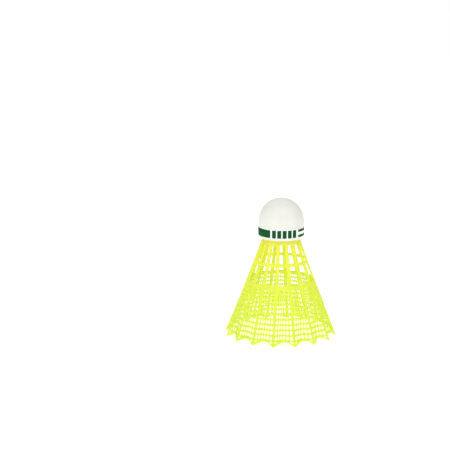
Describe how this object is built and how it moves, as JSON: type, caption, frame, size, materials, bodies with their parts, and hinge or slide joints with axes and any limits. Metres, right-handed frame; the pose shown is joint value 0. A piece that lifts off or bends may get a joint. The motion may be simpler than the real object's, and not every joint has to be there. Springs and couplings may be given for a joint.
{
  "type": "badminton shuttlecock",
  "caption": "Synthetic badminton shuttlecock: a pleated open-net nylon skirt on straight stems, glued to a rounded leather-covered cork base with a printed tape around it.",
  "frame": {"origin": "centre of the hem circle, in the plane of the skirt's tips, where it stands", "axes": "+Z along the flight axis from the hem to the cork, -Y towards the viewer through the middle of a window between two stems"},
  "size_m": [0.065, 0.065, 0.0812],
  "materials": {
    "nylon": "translucent fluorescent yellow-green nylon, slightly waxy",
    "cork": "natural cork, matt",
    "leather": "off-white, smooth, satin",
    "tape": "white coated tape, satin",
    "ink": "dark green printed ink, satin",
    "glue": "cured clear adhesive, slightly yellow"
  },
  "bodies": {
    "root": {"skirt": "nylon", "cork_core": "cork", "leather_cover": "leather", "speed_band": "tape", "band_print": "ink", "glue_bond": "glue"}
  },
  "joints": []
}
